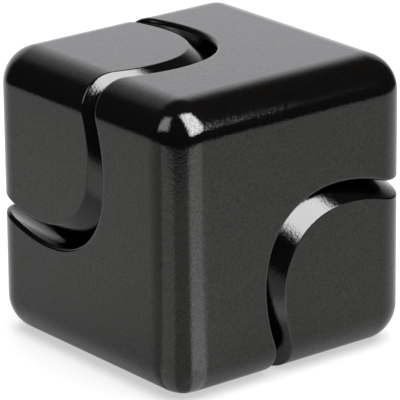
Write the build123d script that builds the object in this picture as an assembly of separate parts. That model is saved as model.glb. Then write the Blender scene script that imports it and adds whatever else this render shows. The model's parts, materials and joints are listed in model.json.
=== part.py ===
from build123d import *
import os
from math import cos, pi, radians, sin, sqrt, tan

# Cube spinner: a rounded metal cube that spins about one of its body diagonals.
#
# The cube is bored right through along that diagonal. What is left is the spinning body. In the bore
# sit two corner caps, which a finger and a thumb hold, joined by a stud through a 608 ball bearing.
# The part stands on one face: +Z is up, the origin is the middle of the bottom face, and the cube's
# edges run along X, Y and Z. All lengths are in millimetres.

# Driving sizes of the cube
CUBE_EDGE = 28.0
EDGE_ROUND = 3.6
BORE_RADIUS = 12.0
CAP_RADIUS = 10.85
EDGE_BREAK = 0.3
RIM_BREAK = 0.3

# 608 deep-groove ball bearing
BEARING_WIDTH = 7.0
BEARING_OUTER_RADIUS = 11.0
BEARING_BORE_RADIUS = 4.0
BALL_RADIUS = 3.969 / 2
BALL_COUNT = 7
PITCH_RADIUS = 7.5
GROOVE_RADIUS = BALL_RADIUS + 0.045
INNER_LAND_RADIUS = 6.05
OUTER_LAND_RADIUS = 8.95
RING_CHAMFER = 0.3

# Shields and the snap wires that hold them in the outer ring
SHIELD_RECESS_RADIUS = 9.6
SHIELD_SEAT = 2.7
SHIELD_THICKNESS = 0.28
SHIELD_STEP = 0.22
SHIELD_STEP_INSET = 0.35
SHIELD_STEP_RUN = 0.3
SHIELD_INNER_RADIUS = 6.35
SHIELD_RIM_GAP = 0.02
SNAP_WIRE_RADIUS = 0.18
SNAP_GROOVE_DEPTH = 0.2
SNAP_GROOVE_WIDTH = 0.4
SNAP_WIRE_GAP_DEG = 24.0

# Ribbon cage of two riveted halves
CAGE_THICKNESS = 0.4
CAGE_HALF_WIDTH = 0.75
POCKET_CLEARANCE = 0.09
RIVET_RADIUS = 0.29
RIVET_HEAD_RADIUS = 0.55
RIVET_HEAD_HEIGHT = 0.28
RIVET_CROWN_RADIUS = 0.3
RIVET_EDGE_HEIGHT = 0.1

# Web inside the body that carries the bearing, and the stack that clamps the inner ring
LIP_THICKNESS = 0.9
LIP_RADIUS = 9.9
CAP_CLEARANCE = 0.5
SHIM_THICKNESS = 0.3
SHIM_OUTER_RADIUS = 5.6
BOSS_RADIUS = 5.5
STUB_END_GAP = 0.15
FIT_GAP = 0.01

# M5 set screw that joins the two caps
STUD_RADIUS = 2.5
STUD_LENGTH = 14.0
THREAD_PITCH = 0.8
THREAD_DEPTH = 0.4
THREAD_CREST = THREAD_PITCH / 8
THREAD_ANGLE_DEG = 60.0
HEX_SOCKET_WIDTH = 2.5
HEX_SOCKET_DEPTH = 2.4
TAPPED_HOLE_DEPTH = 8.2
DRILL_POINT_DEPTH = 1.4
DRILL_TIP_RADIUS = 0.1

# Worked out from the sizes above
HALF_EDGE = CUBE_EDGE / 2
CENTRE = Vector(0, 0, HALF_EDGE)
DIAGONAL = Vector(1, -1, -1).normalized()
HALF_DIAGONAL = HALF_EDGE * sqrt(3)
BEARING_HALF = BEARING_WIDTH / 2
WEB_HALF = BEARING_HALF + LIP_THICKNESS
CAP_BACK = WEB_HALF + CAP_CLEARANCE
BOSS_FACE = BEARING_HALF + SHIM_THICKNESS
SNAP_WIRE_LEVEL = SHIELD_SEAT + SHIELD_THICKNESS + SNAP_GROOVE_WIDTH / 2
THREAD_FLANK = THREAD_DEPTH * tan(radians(THREAD_ANGLE_DEG / 2))

# How far a cutting shape runs past what it cuts, how far two joined shapes run into each other,
# and how close a point has to be to a surface to count as on it
OVERRUN = 1.0
OVERLAP = 0.1
CLOSE = 0.001

# The spin axis frame: local Z runs from the upper cap's corner to the lower cap's corner
UPPER, LOWER = -1, 1
SPIN = Plane(origin=CENTRE, x_dir=(1, 1, 0), z_dir=DIAGONAL)
SIDE_FRAME = {
    LOWER: SPIN,
    UPPER: Plane(origin=CENTRE, x_dir=(1, 1, 0), z_dir=-DIAGONAL),
}


def disc(radius, low, high):
    """A round solid about the local Z axis, from low to high."""
    return Pos(0, 0, low) * Cylinder(radius, high - low, align=(Align.CENTER, Align.CENTER, Align.MIN))


def tube(outer, inner, low, high):
    """A plain ring about the local Z axis, from low to high."""
    return disc(outer, low, high) - disc(inner, low, high)


def turned(*points):
    """A solid turned about the local Z axis from a closed outline of (radius, height) points."""
    outline = make_face(Polyline(*[(radius, 0, height) for radius, height in points], close=True))
    return revolve(outline, Axis.Z)


def on_side(side, shape):
    """Puts a shape made about the local Z axis on the spin axis, facing the given side."""
    return SIDE_FRAME[side].location * shape


def distance_from_axis(point):
    """How far a point of the finished part lies from the spin axis."""
    offset = Vector(point) - CENTRE
    return (offset - DIAGONAL * offset.dot(DIAGONAL)).length


def slot_edges(shape, radius):
    """The edges where a bore or cap of that radius meets the outside of the cube."""
    found = []
    for edge in shape.edges():
        ends = [edge @ 0, edge @ 0.5, edge @ 1]
        on_wall = all(abs(distance_from_axis(p) - radius) < CLOSE for p in ends)
        outside = all(abs((p - CENTRE).dot(DIAGONAL)) > CAP_BACK + RIM_BREAK for p in ends)
        if on_wall and outside:
            found.append(edge)
    return ShapeList(found)


def rounded_cube():
    """The cube before it is bored, with every edge and corner rounded."""
    cube = Pos(0, 0, HALF_EDGE) * Box(CUBE_EDGE, CUBE_EDGE, CUBE_EDGE)
    return fillet(cube.edges(), EDGE_ROUND)


def cube_body():
    """The spinning body: bored from both corners, with a web between the bores for the bearing."""
    body = rounded_cube()
    for side in (UPPER, LOWER):
        body -= on_side(side, disc(BORE_RADIUS, WEB_HALF, HALF_DIAGONAL + OVERRUN))
    seat = disc(BEARING_OUTER_RADIUS + FIT_GAP, -BEARING_HALF, WEB_HALF)
    lip_hole = disc(LIP_RADIUS, -WEB_HALF, WEB_HALF)
    entry = Pos(0, 0, WEB_HALF - RIM_BREAK) * Cone(
        BEARING_OUTER_RADIUS + FIT_GAP,
        BEARING_OUTER_RADIUS + FIT_GAP + RIM_BREAK,
        RIM_BREAK,
        align=(Align.CENTER, Align.CENTER, Align.MIN),
    )
    body -= on_side(LOWER, seat + lip_hole + entry)
    return fillet(slot_edges(body, BORE_RADIUS), EDGE_BREAK)


def tapped_hole():
    """The blind hole for the stud, about the local Z axis, with the drill's point at its end."""
    hole = disc(STUD_RADIUS, 0, TAPPED_HOLE_DEPTH)
    point = Pos(0, 0, TAPPED_HOLE_DEPTH) * Cone(
        STUD_RADIUS, DRILL_TIP_RADIUS, DRILL_POINT_DEPTH, align=(Align.CENTER, Align.CENTER, Align.MIN)
    )
    return hole + point


def corner_cap(side):
    """A corner of the cube with a boss that clamps the bearing and a stub that fills its bore."""
    block = rounded_cube() & on_side(side, disc(CAP_RADIUS, CAP_BACK, HALF_DIAGONAL + OVERRUN))
    block = fillet(slot_edges(block, CAP_RADIUS), EDGE_BREAK)
    back_rim = block.edges().filter_by(GeomType.CIRCLE).sort_by(
        lambda edge: abs((edge.center() - CENTRE).dot(DIAGONAL))
    )[0]
    block = chamfer(back_rim, RIM_BREAK)
    stub_radius = BEARING_BORE_RADIUS - FIT_GAP
    neck = turned(
        (0, STUB_END_GAP),
        (stub_radius - RIM_BREAK, STUB_END_GAP),
        (stub_radius, STUB_END_GAP + RIM_BREAK),
        (stub_radius, BOSS_FACE),
        (BOSS_RADIUS, BOSS_FACE),
        (BOSS_RADIUS, CAP_BACK + OVERLAP),
        (0, CAP_BACK + OVERLAP),
    )
    return block + on_side(side, neck) - on_side(side, tapped_hole())


def raceway():
    """The space that the balls run in, cut from both rings."""
    return Torus(PITCH_RADIUS, GROOVE_RADIUS)


def inner_ring():
    """The ring that the caps clamp, with the inner raceway."""
    half, chamfer_size = BEARING_HALF, RING_CHAMFER
    ring = turned(
        (BEARING_BORE_RADIUS, -half + chamfer_size),
        (BEARING_BORE_RADIUS + chamfer_size, -half),
        (INNER_LAND_RADIUS, -half),
        (INNER_LAND_RADIUS, half),
        (BEARING_BORE_RADIUS + chamfer_size, half),
        (BEARING_BORE_RADIUS, half - chamfer_size),
    )
    return ring - raceway()


def outer_ring():
    """The ring pressed into the body, with the outer raceway and the seats of both shields."""
    half, chamfer_size = BEARING_HALF, RING_CHAMFER
    ring = turned(
        (OUTER_LAND_RADIUS, -half),
        (BEARING_OUTER_RADIUS - chamfer_size, -half),
        (BEARING_OUTER_RADIUS, -half + chamfer_size),
        (BEARING_OUTER_RADIUS, half - chamfer_size),
        (BEARING_OUTER_RADIUS - chamfer_size, half),
        (OUTER_LAND_RADIUS, half),
    )
    ring -= raceway()
    groove_low = SNAP_WIRE_LEVEL - SNAP_GROOVE_WIDTH / 2
    for turn in (0, 180):
        seat = disc(SHIELD_RECESS_RADIUS, SHIELD_SEAT, BEARING_HALF)
        groove = disc(
            SHIELD_RECESS_RADIUS + SNAP_GROOVE_DEPTH, groove_low, groove_low + SNAP_GROOVE_WIDTH
        )
        ring -= Rot(turn, 0, 0) * (seat + groove)
    return ring


def shield():
    """A thin dished washer that covers the balls on one side of the bearing."""
    rim = SHIELD_RECESS_RADIUS - SHIELD_RIM_GAP
    step_out = OUTER_LAND_RADIUS - SHIELD_STEP_INSET
    step_in = step_out - SHIELD_STEP_RUN
    low, high = SHIELD_SEAT, SHIELD_SEAT + SHIELD_THICKNESS
    return turned(
        (rim, low),
        (rim, high),
        (step_out, high),
        (step_in, high + SHIELD_STEP),
        (SHIELD_INNER_RADIUS, high + SHIELD_STEP),
        (SHIELD_INNER_RADIUS, low + SHIELD_STEP),
        (step_in, low + SHIELD_STEP),
        (step_out, low),
    )


def snap_wire():
    """The open ring of round wire that holds a shield in the outer ring."""
    section = Plane(
        origin=(SHIELD_RECESS_RADIUS, 0, SNAP_WIRE_LEVEL), x_dir=(1, 0, 0), z_dir=(0, 1, 0)
    ) * Circle(SNAP_WIRE_RADIUS)
    return revolve(section, Axis.Z, revolution_arc=360 - SNAP_WIRE_GAP_DEG)


def ball_place(index):
    """Where ball number index sits on the pitch circle."""
    angle = 2 * pi * index / BALL_COUNT
    return Pos(PITCH_RADIUS * cos(angle), PITCH_RADIUS * sin(angle), 0)


def cage_half():
    """One wavy half of the ribbon cage, with a pocket for each ball and a rivet hole between them."""
    pocket_inside = BALL_RADIUS + POCKET_CLEARANCE
    pocket_outside = pocket_inside + CAGE_THICKNESS
    inner, outer = PITCH_RADIUS - CAGE_HALF_WIDTH, PITCH_RADIUS + CAGE_HALF_WIDTH
    half = disc(outer + OVERRUN, 0, CAGE_THICKNESS)
    for index in range(BALL_COUNT):
        half += ball_place(index) * Sphere(pocket_outside)
    half &= tube(outer, inner, 0, pocket_outside + OVERRUN)
    for index in range(BALL_COUNT):
        half -= ball_place(index) * Sphere(pocket_inside)
        half -= ball_place(index + 0.5) * disc(RIVET_RADIUS + FIT_GAP, -OVERRUN, OVERRUN)
    return half


def cage_rivet():
    """A rivet through both cage halves, with a head on each side."""
    grip = CAGE_THICKNESS
    edge = grip + RIVET_EDGE_HEIGHT
    crown = grip + RIVET_HEAD_HEIGHT
    return turned(
        (0, -crown),
        (RIVET_CROWN_RADIUS, -crown),
        (RIVET_HEAD_RADIUS, -edge),
        (RIVET_HEAD_RADIUS, -grip),
        (RIVET_RADIUS, -grip),
        (RIVET_RADIUS, grip),
        (RIVET_HEAD_RADIUS, grip),
        (RIVET_HEAD_RADIUS, edge),
        (RIVET_CROWN_RADIUS, crown),
        (0, crown),
    )


def shim():
    """The washer between a cap's boss and the inner ring."""
    return tube(SHIM_OUTER_RADIUS, BEARING_BORE_RADIUS, BEARING_HALF, BOSS_FACE)


def stud():
    """The set screw that joins the caps. Its thread is drawn as rings."""
    crest = STUD_RADIUS - FIT_GAP
    root = crest - THREAD_DEPTH
    end = STUD_LENGTH / 2
    points = [(0, -end), (root, -end), (crest, -end + THREAD_DEPTH)]
    level = -end + THREAD_DEPTH + THREAD_CREST
    while level + THREAD_PITCH < end - THREAD_DEPTH:
        next_crest = level + THREAD_PITCH - THREAD_CREST
        points += [
            (crest, level),
            (root, level + THREAD_FLANK),
            (root, next_crest - THREAD_FLANK),
            (crest, next_crest),
        ]
        level += THREAD_PITCH
    points += [(crest, end - THREAD_DEPTH), (root, end), (0, end)]
    socket = Pos(0, 0, end - HEX_SOCKET_DEPTH) * extrude(
        RegularPolygon(HEX_SOCKET_WIDTH / 2, 6, major_radius=False), HEX_SOCKET_DEPTH + OVERRUN
    )
    return turned(*points) - socket


def nodes():
    """Every separate piece, by the name of its node."""
    made = {
        "cube_body": cube_body(),
        "upper_corner_cap": corner_cap(UPPER),
        "lower_corner_cap": corner_cap(LOWER),
        "bearing_inner_ring": on_side(LOWER, inner_ring()),
        "bearing_outer_ring": on_side(LOWER, outer_ring()),
        "axle_stud": on_side(LOWER, stud()),
    }
    for side, word in ((UPPER, "upper"), (LOWER, "lower")):
        made[f"{word}_shim"] = on_side(side, shim())
        made[f"{word}_bearing_shield"] = on_side(side, shield())
        made[f"{word}_shield_snap_wire"] = on_side(side, snap_wire())
    made["lower_cage_half"] = on_side(LOWER, cage_half())
    made["upper_cage_half"] = on_side(LOWER, Rot(180, 0, 0) * cage_half())
    rivets = [on_side(LOWER, ball_place(index + 0.5) * cage_rivet()) for index in range(BALL_COUNT)]
    made["cage_rivets"] = Compound(children=rivets)
    for index in range(BALL_COUNT):
        made[f"bearing_ball_{index + 1}"] = on_side(LOWER, ball_place(index) * Sphere(BALL_RADIUS))
    return made


os.makedirs("parts", exist_ok=True)
for name, piece in nodes().items():
    export_step(piece, f"parts/{name}.step")
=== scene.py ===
"""Looks of the cube spinner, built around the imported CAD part. Lengths are in metres.

The three large pieces that show are black and glossy, so they are rebuilt here as fine, even meshes of
the CAD's own shape. Each half-plane through the spin axis cuts such a piece in one outline, and its
mesh is those outlines side by side. The pieces inside keep their CAD meshes.
"""

import json
from math import asin, cos, pi, radians, sin, sqrt

import bpy
import numpy as np
from mathutils import Matrix, Vector

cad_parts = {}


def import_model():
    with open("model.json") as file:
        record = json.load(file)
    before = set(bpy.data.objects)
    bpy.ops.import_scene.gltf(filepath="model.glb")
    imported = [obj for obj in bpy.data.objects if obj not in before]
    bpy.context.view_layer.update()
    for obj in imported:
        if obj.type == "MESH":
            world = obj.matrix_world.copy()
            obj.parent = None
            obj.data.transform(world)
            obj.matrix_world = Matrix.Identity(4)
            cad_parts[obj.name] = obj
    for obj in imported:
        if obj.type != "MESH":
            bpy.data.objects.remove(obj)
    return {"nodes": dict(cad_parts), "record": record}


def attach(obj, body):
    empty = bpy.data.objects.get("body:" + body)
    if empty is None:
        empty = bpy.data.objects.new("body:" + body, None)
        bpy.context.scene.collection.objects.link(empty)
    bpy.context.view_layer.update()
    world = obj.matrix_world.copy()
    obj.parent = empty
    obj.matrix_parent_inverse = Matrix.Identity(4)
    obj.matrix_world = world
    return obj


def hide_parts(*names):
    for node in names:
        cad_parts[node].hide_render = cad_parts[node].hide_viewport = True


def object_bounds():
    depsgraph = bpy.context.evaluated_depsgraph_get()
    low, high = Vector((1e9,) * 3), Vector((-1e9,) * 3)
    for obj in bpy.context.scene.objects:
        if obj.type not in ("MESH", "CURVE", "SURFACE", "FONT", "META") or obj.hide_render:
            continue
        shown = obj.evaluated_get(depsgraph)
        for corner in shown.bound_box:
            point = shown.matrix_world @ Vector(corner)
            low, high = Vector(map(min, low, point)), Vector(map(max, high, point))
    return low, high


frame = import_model()
cad_low, cad_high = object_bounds()

MM = 0.001

# Sizes of the cube, as in the CAD
EDGE = cad_high.x - cad_low.x
HALF = EDGE / 2
EDGE_ROUND = 3.6 * MM
BORE_RADIUS = 12.0 * MM
CAP_RADIUS = 10.85 * MM
EDGE_BREAK = 0.3 * MM
RIM_BREAK = 0.3 * MM
WEB_HALF = 4.4 * MM
CAP_BACK = 4.9 * MM
LIP_RADIUS = 9.9 * MM
SEAT_RADIUS = 11.01 * MM
SEAT_FLOOR = 3.5 * MM
BOSS_RADIUS = 5.5 * MM
BOSS_FACE = 3.8 * MM
STUB_RADIUS = 3.99 * MM
STUB_END = 0.15 * MM
TAPPED_RADIUS = 2.5 * MM
TAPPED_DEPTH = 8.2 * MM
DRILL_POINT = 9.6 * MM
DRILL_TIP_RADIUS = 0.1 * MM

# The spin axis, from the upper cap's corner to the lower cap's corner
CENTRE = np.array([0.0, 0.0, HALF])
AXIS = np.array([1.0, -1.0, -1.0]) / sqrt(3)
ACROSS = np.array([1.0, 1.0, 0.0]) / sqrt(2)
UPPER, LOWER = -1, 1

# How finely the outlines are divided
SECTIONS = 480
OUTER_STEPS = 112
CAP_STEPS = 60
ARC_STEPS = 12
WALL_STEPS = 8
SUPPORT_DEPTHS = (0.02 * MM, 0.07 * MM)
FINE_STEPS = 1200
BISECTIONS = 46
TIP_ANGLE = 0.02
SLOPE_PROBE = 0.02 * MM
NEVER_ZERO = 1e-12
SHARP_ANGLE = radians(38)

# The glossy black coat
COAT_DARK = (0.0006, 0.0005, 0.0004)
COAT_LIGHT = (0.0020, 0.0018, 0.0016)
COAT_IOR = 1.43
INSIDE_DARK = (0.0010, 0.0010, 0.0010)
INSIDE_LIGHT = (0.0035, 0.0035, 0.0035)

# The part of a noise's range that is used, and how much larger stains are than grain
NOISE_LOW, NOISE_HIGH = 0.3, 0.7
STAIN_TO_GRAIN = 9

# Azimuths are in degrees, counted from -Y towards +X, and elevations are in degrees.

# The camera: where it stands seen from the cube's centre, and how far its aim is moved
CAMERA_AZIMUTH = -38.39
CAMERA_ELEVATION = 19.23
CAMERA_ROLL = radians(-0.58)
CAMERA_DISTANCE = 12.46 * EDGE
AIM_SHIFT = (-0.0018 * EDGE, 0, -0.0282 * EDGE)
LENS_MM = 336.5
SENSOR_MM = 36.0
CAMERA_REACH = 20.0

# The floor: a disc about the cube with a straight front edge
FLOOR_RADIUS = 150 * MM
FLOOR_FRONT = 87 * MM
FLOOR_FRONT_AZIMUTH = -46
FLOOR_LEVEL = -0.01 * MM
FLOOR_STEPS = 96
FLOOR_DARK = (0.725, 0.715, 0.695)
FLOOR_LIGHT = (0.745, 0.735, 0.715)
FLOOR_IOR = 1.25
# The floor's glow in reflections is painted light, coloured by the painted patches of light below
FLOOR_PAINTED_GLOW = 0.8
FLOOR_SEEN_COLOUR = (0.235, 0.235, 0.235, 1)
FLOOR_SEEN_GLOW = 0.565

# Painted light on the floor, seen only in reflections: how light its colour and glow are painted, by
# azimuth from the cube's front edge
PAINTED_LIGHT_POOLS = (
    (-150, 0.340),
    (-126, 0.30),
    (-97, 0.235),
    (-93, 0.52),
    (-62, 0.51),
    (-57, 0.29),
    (-21, 0.29),
    (-15, 0.77),
    (19, 0.74),
    (24, 0.40),
    (52, 0.37),
    (75, 0.40),
    (179, 0.34),
)

# The backdrop, seen only in reflections: it fades with height and with the angle from its middle
BACKDROP_AZIMUTH = 151
BACKDROP_FULL_ANGLE = 14
BACKDROP_NO_ANGLE = 50
BACKDROP_FULL_HEIGHT = 0.48
BACKDROP_NO_HEIGHT = 0.78
BACKDROP_STRENGTH = 1.4
BACKDROP_COLOUR = (0.99, 0.99, 1.02, 1)
ROOM_STRENGTH = 0.05
SEEN_STRENGTH = 1.1


# ---------------------------------------------------------------- shape of the cube

def outside(points):
    """How far points are outside the rounded cube: negative inside it, zero on its surface."""
    past_core = np.abs(points - CENTRE) - (HALF - EDGE_ROUND)
    beyond = np.linalg.norm(np.maximum(past_core, 0), axis=-1)
    return beyond + np.minimum(past_core.max(axis=-1), 0) - EDGE_ROUND


def surface_along(start, heading):
    """The distance from start, which is inside, along heading to the rounded cube's surface."""
    low = np.zeros(np.broadcast(start[..., 0], heading[..., 0]).shape)
    high = np.full_like(low, EDGE)
    for _ in range(BISECTIONS):
        middle = (low + high) / 2
        inside = outside(start + heading * middle[..., None]) < 0
        low = np.where(inside, middle, low)
        high = np.where(inside, high, middle)
    return (low + high) / 2


class Sections:
    """The half-planes through the spin axis, seen from one of its two corners."""

    def __init__(self, side):
        self.tip = AXIS * side
        angle = 2 * pi * np.arange(SECTIONS) / SECTIONS
        other = np.cross(self.tip, ACROSS)
        self.radial = np.outer(np.cos(angle), ACROSS) + np.outer(np.sin(angle), other)

    def place(self, radius, height):
        """Points at that radius from the axis and height towards the tip, one for each section."""
        radius = np.broadcast_to(np.asarray(radius, float), (SECTIONS,))
        height = np.broadcast_to(np.asarray(height, float), (SECTIONS,))
        return CENTRE + radius[:, None] * self.radial + height[:, None] * self.tip

    def height_at(self, radius, sign=1):
        """The height of the cube's surface at that radius, on the tip's side or the far side."""
        radius = np.broadcast_to(np.asarray(radius, float), (SECTIONS,))
        start = CENTRE + radius[:, None] * self.radial
        heading = np.broadcast_to(sign * self.tip, start.shape)
        return sign * surface_along(start, heading)

    def outer_rows(self, first, last, steps):
        """Rows over the cube's surface, even along each section, between two polar angles."""
        share = np.linspace(0, 1, FINE_STEPS)[:, None]
        polar = first[None, :] * (1 - share) + last[None, :] * share
        heading = np.cos(polar)[..., None] * self.tip + np.sin(polar)[..., None] * self.radial[None]
        points = heading * surface_along(CENTRE, heading)[..., None]
        length = np.linalg.norm(np.diff(points, axis=0), axis=2).cumsum(axis=0)
        length = np.vstack([np.zeros((1, SECTIONS)), length])
        rows = []
        for k in range(steps + 1):
            wanted = length[-1] * k / steps
            index = np.array([np.searchsorted(length[:, i], wanted[i]) for i in range(SECTIONS)])
            index = np.clip(index, 1, FINE_STEPS - 1)
            column = np.arange(SECTIONS)
            before, after = length[index - 1, column], length[index, column]
            gap = np.maximum(after - before, NEVER_ZERO)
            part = np.where(after > before, (wanted - before) / gap, 0)
            angle = polar[index - 1, column] * (1 - part) + polar[index, column] * part
            heading = np.cos(angle)[:, None] * self.tip + np.sin(angle)[:, None] * self.radial
            rows.append(CENTRE + heading * surface_along(CENTRE, heading)[:, None])
        return rows

    def rim(self, radius, outward, sign=1):
        """The rounded rim where the cube's surface meets a wall of that radius.

        Returns the rows of the arc, from the surface to the wall, the polar angle at which the arc
        leaves the surface, and the height at which it meets the wall."""
        probe = SLOPE_PROBE * outward
        corner = self.height_at(radius, sign)
        along = np.stack([np.full(SECTIONS, probe), self.height_at(radius + probe, sign) - corner], -1)
        along /= np.linalg.norm(along, axis=1)[:, None]
        down = np.broadcast_to(np.array([0.0, -sign]), along.shape)
        opening = np.arccos(np.clip((along * down).sum(1), -1, 1))
        tangent = EDGE_BREAK / np.tan(opening / 2)
        corner_point = np.stack([np.full(SECTIONS, radius), corner], -1)
        middle = along + down
        middle /= np.linalg.norm(middle, axis=1)[:, None]
        hub = corner_point + middle * (EDGE_BREAK / np.sin(opening / 2))[:, None]
        first = corner_point + along * tangent[:, None] - hub
        last = corner_point + down * tangent[:, None] - hub
        turn = pi - opening
        rows = []
        for k in range(ARC_STEPS + 1):
            share = k / ARC_STEPS
            weight_first = np.sin((1 - share) * turn) / np.sin(turn)
            weight_last = np.sin(share * turn) / np.sin(turn)
            point = hub + first * weight_first[:, None] + last * weight_last[:, None]
            rows.append(self.place(point[:, 0], point[:, 1]))
        leave = corner_point + along * tangent[:, None]
        polar = np.arctan2(leave[:, 0], leave[:, 1])
        return rows, polar, corner - sign * tangent


# ---------------------------------------------------------------- meshes

def wall_rows(sections, radius, first, last):
    """Rows down a straight wall, close together next to its first end."""
    step_in = np.sign(last - first)
    rows = [sections.place(radius, first + step_in * depth) for depth in SUPPORT_DEPTHS]
    for k in range(1, WALL_STEPS + 1):
        rows.append(sections.place(radius, first + (last - first) * k / WALL_STEPS))
    return rows


def rows_to_mesh(name, parts, poles=None):
    """A mesh of quads from lists of (rows, material index).

    poles gives the end points of an outline that starts and ends on the axis. Without them the last
    row is joined to the first."""
    rows, index = [], []
    for part, material in parts:
        rows += part
        index += [material] * len(part)
    count = len(rows)
    points = np.concatenate(rows)
    faces, materials = [], []
    column = np.arange(SECTIONS)
    beside = (column + 1) % SECTIONS
    for k in range(count - 1 if poles else count):
        below = (k + 1) % count
        this_row, next_row = k * SECTIONS, below * SECTIONS
        quads = [this_row + column, next_row + column, next_row + beside, this_row + beside]
        faces += np.stack(quads, -1).tolist()
        materials += [index[below]] * SECTIONS
    if poles:
        start, end = len(points), len(points) + 1
        points = np.concatenate([points, poles])
        last = (count - 1) * SECTIONS
        for i in range(SECTIONS):
            j = (i + 1) % SECTIONS
            faces.append([start, i, j])
            faces.append([end, last + j, last + i])
            materials += [index[0], index[-1]]
    mesh = bpy.data.meshes.new(name)
    mesh.from_pydata(points.tolist(), [], faces)
    mesh.polygons.foreach_set("material_index", materials)
    mesh.validate()
    mesh.shade_smooth()
    mesh.set_sharp_from_angle(angle=SHARP_ANGLE)
    piece = bpy.data.objects.new(name, mesh)
    bpy.context.scene.collection.objects.link(piece)
    return piece


OUTSIDE, WALL, INSIDE = 0, 1, 2


def body_mesh():
    """The six-cornered body: over the outside, down one bore, through the web and up the other."""
    s = Sections(UPPER)
    upper_arc, upper_polar, upper_wall = s.rim(BORE_RADIUS, 1)
    lower_arc, lower_polar, lower_wall = s.rim(BORE_RADIUS, 1, sign=-1)
    outer = s.outer_rows(lower_polar, upper_polar, OUTER_STEPS)[1:-1]
    web = [
        s.place(LIP_RADIUS, WEB_HALF),
        s.place(LIP_RADIUS, SEAT_FLOOR),
        s.place(SEAT_RADIUS, SEAT_FLOOR),
        s.place(SEAT_RADIUS, RIM_BREAK - WEB_HALF),
        s.place(SEAT_RADIUS + RIM_BREAK, -WEB_HALF),
    ]
    upper = wall_rows(s, BORE_RADIUS, upper_wall, WEB_HALF)
    lower = wall_rows(s, BORE_RADIUS, lower_wall, -WEB_HALF)[::-1]
    parts = [
        (outer, OUTSIDE),
        (upper_arc, OUTSIDE),
        (upper, WALL),
        (web, INSIDE),
        (lower, WALL),
        (lower_arc[::-1], OUTSIDE),
    ]
    return rows_to_mesh("spinner_body", parts)


def cap_mesh(name, side):
    """One corner cap: over the outside from its tip, down the wall, and the boss, stub and hole behind."""
    s = Sections(side)
    arc, polar, wall = s.rim(CAP_RADIUS, -1)
    outer = s.outer_rows(np.full(SECTIONS, TIP_ANGLE), polar, CAP_STEPS)[:-1]
    behind = [
        s.place(radius, height)
        for radius, height in (
            (CAP_RADIUS - RIM_BREAK, CAP_BACK),
            (BOSS_RADIUS, CAP_BACK),
            (BOSS_RADIUS, BOSS_FACE),
            (STUB_RADIUS, BOSS_FACE),
            (STUB_RADIUS, STUB_END + RIM_BREAK),
            (STUB_RADIUS - RIM_BREAK, STUB_END),
            (TAPPED_RADIUS, STUB_END),
            (TAPPED_RADIUS, TAPPED_DEPTH),
            (DRILL_TIP_RADIUS, DRILL_POINT),
        )
    ]
    parts = [
        (outer, OUTSIDE),
        (arc, OUTSIDE),
        (wall_rows(s, CAP_RADIUS, wall, CAP_BACK + RIM_BREAK), WALL),
        (behind, INSIDE),
    ]
    tip_height = surface_along(CENTRE, s.tip)
    poles = [CENTRE + s.tip * tip_height, CENTRE + s.tip * DRILL_POINT]
    return rows_to_mesh(name, parts, poles)


# ---------------------------------------------------------------- materials

class Nodes:
    """A node tree being built, with short ways to add and join its nodes."""

    def __init__(self, owner, coordinates):
        owner.use_nodes = True
        self.owner = owner
        self.tree = owner.node_tree
        self.place = self.add("ShaderNodeTexCoord").outputs[coordinates]

    def add(self, kind, values=None, **properties):
        node = self.tree.nodes.new(kind)
        for key, value in properties.items():
            setattr(node, key, value)
        for key, value in (values or {}).items():
            node.inputs[key].default_value = value
        return node

    def join(self, source, target):
        self.tree.links.new(source, target)

    def worked_out(self, kind, operation, inputs):
        """A node that calculates. Each input is another node's output or a constant."""
        node = self.add(kind, operation=operation)
        for socket, value in zip(node.inputs, inputs):
            if isinstance(value, bpy.types.NodeSocket):
                self.join(value, socket)
            else:
                socket.default_value = value
        return node

    def number(self, operation, *inputs):
        return self.worked_out("ShaderNodeMath", operation, inputs).outputs["Value"]

    def vector(self, operation, *inputs):
        return self.worked_out("ShaderNodeVectorMath", operation, inputs).outputs["Vector"]

    def dot(self, *inputs):
        return self.worked_out("ShaderNodeVectorMath", "DOT_PRODUCT", inputs).outputs["Value"]

    def ranged(self, source, low, high, from_low=NOISE_LOW, from_high=NOISE_HIGH, smooth=False):
        """source carried from one range to another."""
        node = self.add(
            "ShaderNodeMapRange",
            {"From Min": from_low, "From Max": from_high, "To Min": low, "To Max": high},
            interpolation_type="SMOOTHSTEP" if smooth else "LINEAR",
        )
        self.join(source, node.inputs["Value"])
        return node.outputs["Result"]

    def seen_or_mirrored(self, seen, mirrored, output):
        """Shows the camera itself one shader, and all other rays the other."""
        ray = self.add("ShaderNodeLightPath")
        choose = self.add("ShaderNodeMixShader")
        self.join(ray.outputs["Is Camera Ray"], choose.inputs[0])
        self.join(mirrored.outputs[0], choose.inputs[1])
        self.join(seen.outputs[0], choose.inputs[2])
        self.join(choose.outputs[0], self.tree.nodes[output].inputs["Surface"])


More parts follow.
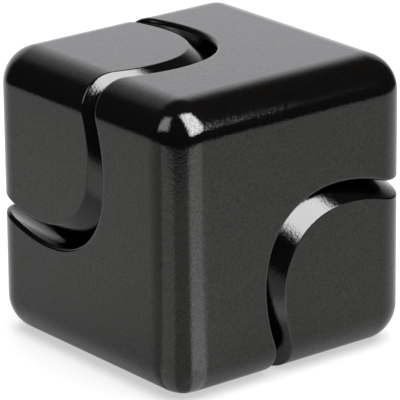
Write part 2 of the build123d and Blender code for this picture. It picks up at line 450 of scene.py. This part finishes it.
class Surface(Nodes):
    """A material being built round its Principled shader."""

    def __init__(self, name):
        super().__init__(bpy.data.materials.new(name), "Object")
        self.shader = self.tree.nodes["Principled BSDF"]

    def noise(self, size, detail=2.0, rough=0.5, place=None):
        """Noise whose features are about size across, from 0 to 1."""
        node = self.add("ShaderNodeTexNoise", {"Scale": 1 / size, "Detail": detail, "Roughness": rough})
        self.join(place or self.place, node.inputs["Vector"])
        return node.outputs["Fac"]

    def mixed(self, factor, first, second):
        """A colour between two, by factor."""
        node = self.add("ShaderNodeMix", data_type="RGBA")
        node.inputs["A"].default_value = (*first, 1)
        node.inputs["B"].default_value = (*second, 1)
        self.join(factor, node.inputs["Factor"])
        return node.outputs["Result"]

    def bump(self, height, depth, after=None):
        """Relief of that depth, on top of another bump if one is given."""
        node = self.add("ShaderNodeBump", {"Strength": 1.0, "Distance": depth})
        self.join(height, node.inputs["Height"])
        if after is not None:
            self.join(after, node.inputs["Normal"])
        return node.outputs["Normal"]

    def turned_place(self, along, around):
        """Coordinates in which noise changes fast along the spin axis and slowly round it."""
        shifted = self.vector("ADD", self.place, tuple(-CENTRE))
        height = self.number("MULTIPLY", self.dot(shifted, tuple(AXIS)), along)
        level = self.add("ShaderNodeCombineXYZ")
        self.join(height, level.inputs["Z"])
        spread = self.vector("MULTIPLY", shifted, (around, around, around))
        return self.vector("ADD", spread, level.outputs["Vector"])

    def finish(self, colour, roughness, normal, **constants):
        """Joins the varied inputs and sets the constant ones on the shader."""
        self.join(colour, self.shader.inputs["Base Color"])
        self.join(roughness, self.shader.inputs["Roughness"])
        self.join(normal, self.shader.inputs["Normal"])
        for key, value in constants.items():
            self.shader.inputs[key.replace("_", " ")].default_value = value
        return self.owner


def black_coat():
    """Thin glossy black coat over a finely blasted surface, which makes reflections ragged."""
    n = Surface("black_coat")
    grain = n.noise(0.24 * MM, detail=3.0, rough=0.6)
    peel = n.noise(1.3 * MM, detail=1.0)
    sparkle = n.noise(0.15 * MM, detail=1.0)
    colour = n.mixed(n.ranged(grain, 0, 1), COAT_DARK, COAT_LIGHT)
    roughness = n.ranged(n.noise(2.5 * MM), 0.06, 0.10)
    normal = n.bump(grain, 0.013 * MM, n.bump(peel, 0.0050 * MM))
    n.join(n.ranged(sparkle, 0.36, 0.64), n.shader.inputs["Specular IOR Level"])
    return n.finish(colour, roughness, normal, Metallic=0.0, IOR=COAT_IOR)


def black_wall():
    """The slot's walls: the same coat over a bored surface with fine tool marks."""
    n = Surface("black_wall")
    marks = n.noise(0.5 * MM, place=n.turned_place(along=4.0, around=0.25))
    grain = n.noise(0.2 * MM, detail=3.0, rough=0.6)
    colour = n.mixed(n.ranged(grain, 0, 1), COAT_DARK, COAT_LIGHT)
    roughness = n.ranged(marks, 0.05, 0.10)
    normal = n.bump(grain, 0.013 * MM, n.bump(marks, 0.0060 * MM))
    return n.finish(colour, roughness, normal, Metallic=0.0, IOR=COAT_IOR)


def black_inside():
    """Hidden machined faces of the same pieces, with a thinner, duller coat."""
    n = Surface("black_inside")
    marks = n.noise(0.6 * MM, detail=3.0, place=n.turned_place(along=3.0, around=0.4))
    colour = n.mixed(marks, INSIDE_DARK, INSIDE_LIGHT)
    roughness = n.ranged(marks, 0.25, 0.4)
    normal = n.bump(marks, 0.002 * MM)
    return n.finish(colour, roughness, normal, Metallic=0.0, IOR=COAT_IOR)


def steel(name, dark, light, grain, smoothest, roughest, depth, turned=None):
    """A bare steel with its own grain. turned stretches the grain round the spin axis."""
    n = Surface(name)
    place = n.turned_place(*turned) if turned else None
    marks = n.noise(grain, detail=4.0, rough=0.6, place=place)
    stain = n.noise(grain * STAIN_TO_GRAIN)
    colour = n.mixed(n.ranged(stain, 0, 1), dark, light)
    roughness = n.ranged(marks, smoothest, roughest)
    normal = n.bump(marks, depth)
    return n.finish(colour, roughness, normal, Metallic=1.0)


def inside_finishes():
    """The metals of the pieces inside, by the CAD's material slot."""
    return {
        "bearing_steel": steel(
            "ground_ring", dark=(0.50, 0.50, 0.51), light=(0.62, 0.62, 0.63), grain=0.3 * MM,
            smoothest=0.14, roughest=0.26, depth=0.0006 * MM, turned=(5, 0.3),
        ),
        "bearing_balls": steel(
            "polished_ball", dark=(0.66, 0.66, 0.67), light=(0.74, 0.74, 0.75), grain=0.5 * MM,
            smoothest=0.03, roughest=0.07, depth=0.0001 * MM,
        ),
        "cage_steel": steel(
            "pressed_cage", dark=(0.42, 0.41, 0.40), light=(0.55, 0.54, 0.53), grain=0.25 * MM,
            smoothest=0.28, roughest=0.45, depth=0.0015 * MM,
        ),
        "zinc_steel": steel(
            "zinc_plate", dark=(0.50, 0.52, 0.55), light=(0.66, 0.67, 0.69), grain=0.35 * MM,
            smoothest=0.24, roughest=0.38, depth=0.0010 * MM, turned=(4, 0.5),
        ),
        "spring_wire": steel(
            "drawn_wire", dark=(0.30, 0.30, 0.31), light=(0.42, 0.42, 0.43), grain=0.12 * MM,
            smoothest=0.25, roughest=0.4, depth=0.0006 * MM, turned=(4, 0.3),
        ),
        "black_oxide_steel": steel(
            "black_oxide", dark=(0.03, 0.03, 0.03), light=(0.07, 0.068, 0.065), grain=0.2 * MM,
            smoothest=0.35, roughest=0.55, depth=0.0012 * MM,
        ),
    }


# ---------------------------------------------------------------- pieces

def put_materials(piece, materials):
    """Gives a piece its materials, in the order OUTSIDE, WALL, INSIDE."""
    for material in materials:
        piece.data.materials.append(material)


def make_pieces():
    """The body and the two caps, in place of their CAD nodes."""
    coat = [black_coat(), black_wall(), black_inside()]
    body = body_mesh()
    put_materials(body, coat)
    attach(body, "cube")
    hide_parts("cube_body")
    for word, side in (("upper", UPPER), ("lower", LOWER)):
        cap = cap_mesh(f"{word}_finger_cap", side)
        put_materials(cap, coat)
        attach(cap, "finger_caps")
        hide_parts(f"{word}_corner_cap")


def dress_cad_nodes():
    """Gives every piece inside its own metal."""
    finish_of = inside_finishes()
    for subpart in frame["record"]["subparts"]:
        material = finish_of.get(subpart["material_slot"])
        if material is None:
            continue
        node = frame["nodes"][subpart["node"]]
        for slot in node.material_slots:
            slot.material = material
        node.data.shade_smooth()


# ---------------------------------------------------------------- studio

def direction(azimuth, elevation):
    """The unit vector towards that azimuth and elevation."""
    turn, rise = radians(azimuth), radians(elevation)
    return Vector((sin(turn) * cos(rise), -cos(turn) * cos(rise), sin(rise)))


def panel(name, place, facing, roll, size, radiance, mirrored):
    """A rectangular light: either one that gloss mirrors, or one that lights the floor.

    place is its azimuth, elevation and distance from the cube's centre. facing is the azimuth and
    elevation of its back."""
    light = bpy.data.lights.new(name, "AREA")
    light.shape = "RECTANGLE"
    light.size, light.size_y = size
    light.energy = radiance * pi * size[0] * size[1]
    lamp = bpy.data.objects.new(name, light)
    bpy.context.scene.collection.objects.link(lamp)
    azimuth, elevation, distance = place
    lamp.location = Vector(CENTRE) + direction(azimuth, elevation) * distance
    turn = (-direction(*facing)).to_track_quat("-Z", "Y")
    lamp.rotation_mode = "QUATERNION"
    lamp.rotation_quaternion = turn @ Matrix.Rotation(radians(roll), 3, "Z").to_quaternion()
    lamp.visible_glossy = mirrored
    lamp.visible_diffuse = not mirrored
    lamp.visible_camera = False


def lights():
    """The two softboxes that the coat mirrors, and the light that casts the shadow on the floor."""
    panel(
        "key_softbox", place=(13.6, 55.7, 0.5), facing=(-20.2, 15.3), roll=13.2,
        size=(0.365, 0.617), radiance=20, mirrored=True,
    )
    panel(
        "strip_softbox", place=(-100.6, 45.5, 0.5), facing=(-73.4, 0.3), roll=11.4,
        size=(0.217, 0.436), radiance=4.9, mirrored=True,
    )
    panel(
        "overhead_fill", place=(20, 82, 0.6), facing=(20, 82), roll=0,
        size=(0.9, 0.9), radiance=7.5, mirrored=False,
    )


def world():
    """A dark room with a bright backdrop behind the cube, which fades out above and at its sides.

    The camera itself sees plain white beyond the floor."""
    n = Nodes(bpy.data.worlds.new("studio"), "Generated")
    bpy.context.scene.world = n.owner
    split = n.add("ShaderNodeSeparateXYZ")
    n.join(n.place, split.inputs[0])
    below_top = n.ranged(split.outputs["Z"], 1, 0, BACKDROP_FULL_HEIGHT, BACKDROP_NO_HEIGHT, smooth=True)
    level_place = n.vector("NORMALIZE", n.vector("MULTIPLY", n.place, (1, 1, 0)))
    closeness = n.dot(level_place, direction(BACKDROP_AZIMUTH, 0))
    no_closeness, full_closeness = cos(radians(BACKDROP_NO_ANGLE)), cos(radians(BACKDROP_FULL_ANGLE))
    within_sides = n.ranged(closeness, 0, 1, no_closeness, full_closeness, smooth=True)
    both = n.number("MULTIPLY", below_top, within_sides)
    backdrop = n.tree.nodes["Background"]
    backdrop.inputs["Color"].default_value = BACKDROP_COLOUR
    n.join(n.ranged(both, ROOM_STRENGTH, BACKDROP_STRENGTH, 0, 1), backdrop.inputs["Strength"])
    plain = n.add("ShaderNodeBackground", {"Strength": SEEN_STRENGTH})
    n.seen_or_mirrored(plain, backdrop, "World Output")


def ramp_position(azimuth):
    """Where an azimuth lies on a colour ramp that runs once round, from -180 to 180 degrees."""
    return (azimuth + 180) / 360


def painted_light_pools(n):
    """Painted patches of light: how light the floor is painted in each direction from the cube's front
    edge.
    """
    parts = n.add("ShaderNodeSeparateXYZ")
    n.join(n.place, parts.inputs[0])
    front_edge = EDGE_ROUND - HALF
    rightward = n.number("SUBTRACT", parts.outputs["X"], front_edge)
    forward = n.number("SUBTRACT", front_edge, parts.outputs["Y"])
    turn = n.number("ARCTAN2", rightward, forward)
    ramp = n.add("ShaderNodeValToRGB")
    n.join(n.ranged(turn, 0, 1, -pi, pi), ramp.inputs["Fac"])
    stops = ramp.color_ramp.elements
    for azimuth, _ in PAINTED_LIGHT_POOLS[len(stops):]:
        stops.new(ramp_position(azimuth))
    for stop, (azimuth, lightness) in zip(stops, PAINTED_LIGHT_POOLS):
        stop.position = ramp_position(azimuth)
        stop.color = (lightness, lightness, lightness, 1)
    return ramp.outputs["Color"]


def white_acrylic():
    """The floor's material: slightly glossy, with painted patches of light in its colour and glow in
    reflections, plain when seen.
    """
    n = Surface("white_acrylic")
    sheen = n.mixed(n.noise(40 * MM, detail=1.0), FLOOR_DARK, FLOOR_LIGHT)
    painted_pools = painted_light_pools(n)
    # the painted patches of light make the floor's reflected colour lighter or darker by direction
    colour = n.add("ShaderNodeMix", {"Factor": 1.0}, data_type="RGBA", blend_type="MULTIPLY")
    n.join(sheen, colour.inputs["A"])
    n.join(painted_pools, colour.inputs["B"])
    roughness = n.ranged(n.noise(15 * MM), 0.12, 0.16)
    normal = n.bump(n.noise(5 * MM), 0.0005 * MM)
    # painted glow: the floor glows with the painted patches of light, though it is no lamp
    n.join(painted_pools, n.shader.inputs["Emission Color"])
    n.finish(colour.outputs["Result"], roughness, normal, IOR=FLOOR_IOR, Emission_Strength=FLOOR_PAINTED_GLOW)
    dull = n.add("ShaderNodeBsdfDiffuse", {"Color": FLOOR_SEEN_COLOUR})
    glow = n.add("ShaderNodeEmission", {"Strength": FLOOR_SEEN_GLOW})
    bright = n.add("ShaderNodeAddShader")
    n.join(dull.outputs[0], bright.inputs[0])
    n.join(glow.outputs[0], bright.inputs[1])
    n.seen_or_mirrored(bright, n.shader, "Material Output")
    return n.owner


def floor():
    """A round sheet of white acrylic, cut straight in front of the cube."""
    towards = direction(FLOOR_FRONT_AZIMUTH, 0)
    across = Vector((-towards.y, towards.x, 0))
    half_width = sqrt(FLOOR_RADIUS ** 2 - FLOOR_FRONT ** 2)
    start = asin(half_width / FLOOR_RADIUS)
    rim = []
    for k in range(FLOOR_STEPS + 1):
        turn = start + (2 * pi - 2 * start) * k / FLOOR_STEPS
        spot = towards * (FLOOR_RADIUS * cos(turn)) + across * (FLOOR_RADIUS * sin(turn))
        rim.append((spot.x, spot.y, FLOOR_LEVEL))
    mesh = bpy.data.meshes.new("floor")
    mesh.from_pydata(rim, [], [tuple(range(len(rim)))])
    mesh.materials.append(white_acrylic())
    sheet = bpy.data.objects.new("floor", mesh)
    bpy.context.scene.collection.objects.link(sheet)


def camera():
    """The camera at the photograph's angle."""
    back = direction(CAMERA_AZIMUTH, CAMERA_ELEVATION)
    level = Vector((0, 0, 1)).cross(back).normalized()
    upright = back.cross(level)
    right = level * cos(CAMERA_ROLL) + upright * sin(CAMERA_ROLL)
    up = upright * cos(CAMERA_ROLL) - level * sin(CAMERA_ROLL)
    data = bpy.data.cameras.new("camera")
    data.lens = LENS_MM
    data.sensor_width = SENSOR_MM
    data.clip_end = CAMERA_REACH
    eye = bpy.data.objects.new("camera", data)
    bpy.context.scene.collection.objects.link(eye)
    place = Vector(CENTRE) + back * CAMERA_DISTANCE + Vector(AIM_SHIFT)
    turn = Matrix((right, up, back)).transposed().to_4x4()
    eye.matrix_world = Matrix.Translation(place) @ turn
    bpy.context.scene.camera = eye


camera()
make_pieces()
dress_cad_nodes()
floor()
world()
lights()
bpy.context.scene.view_settings.view_transform = "Standard"
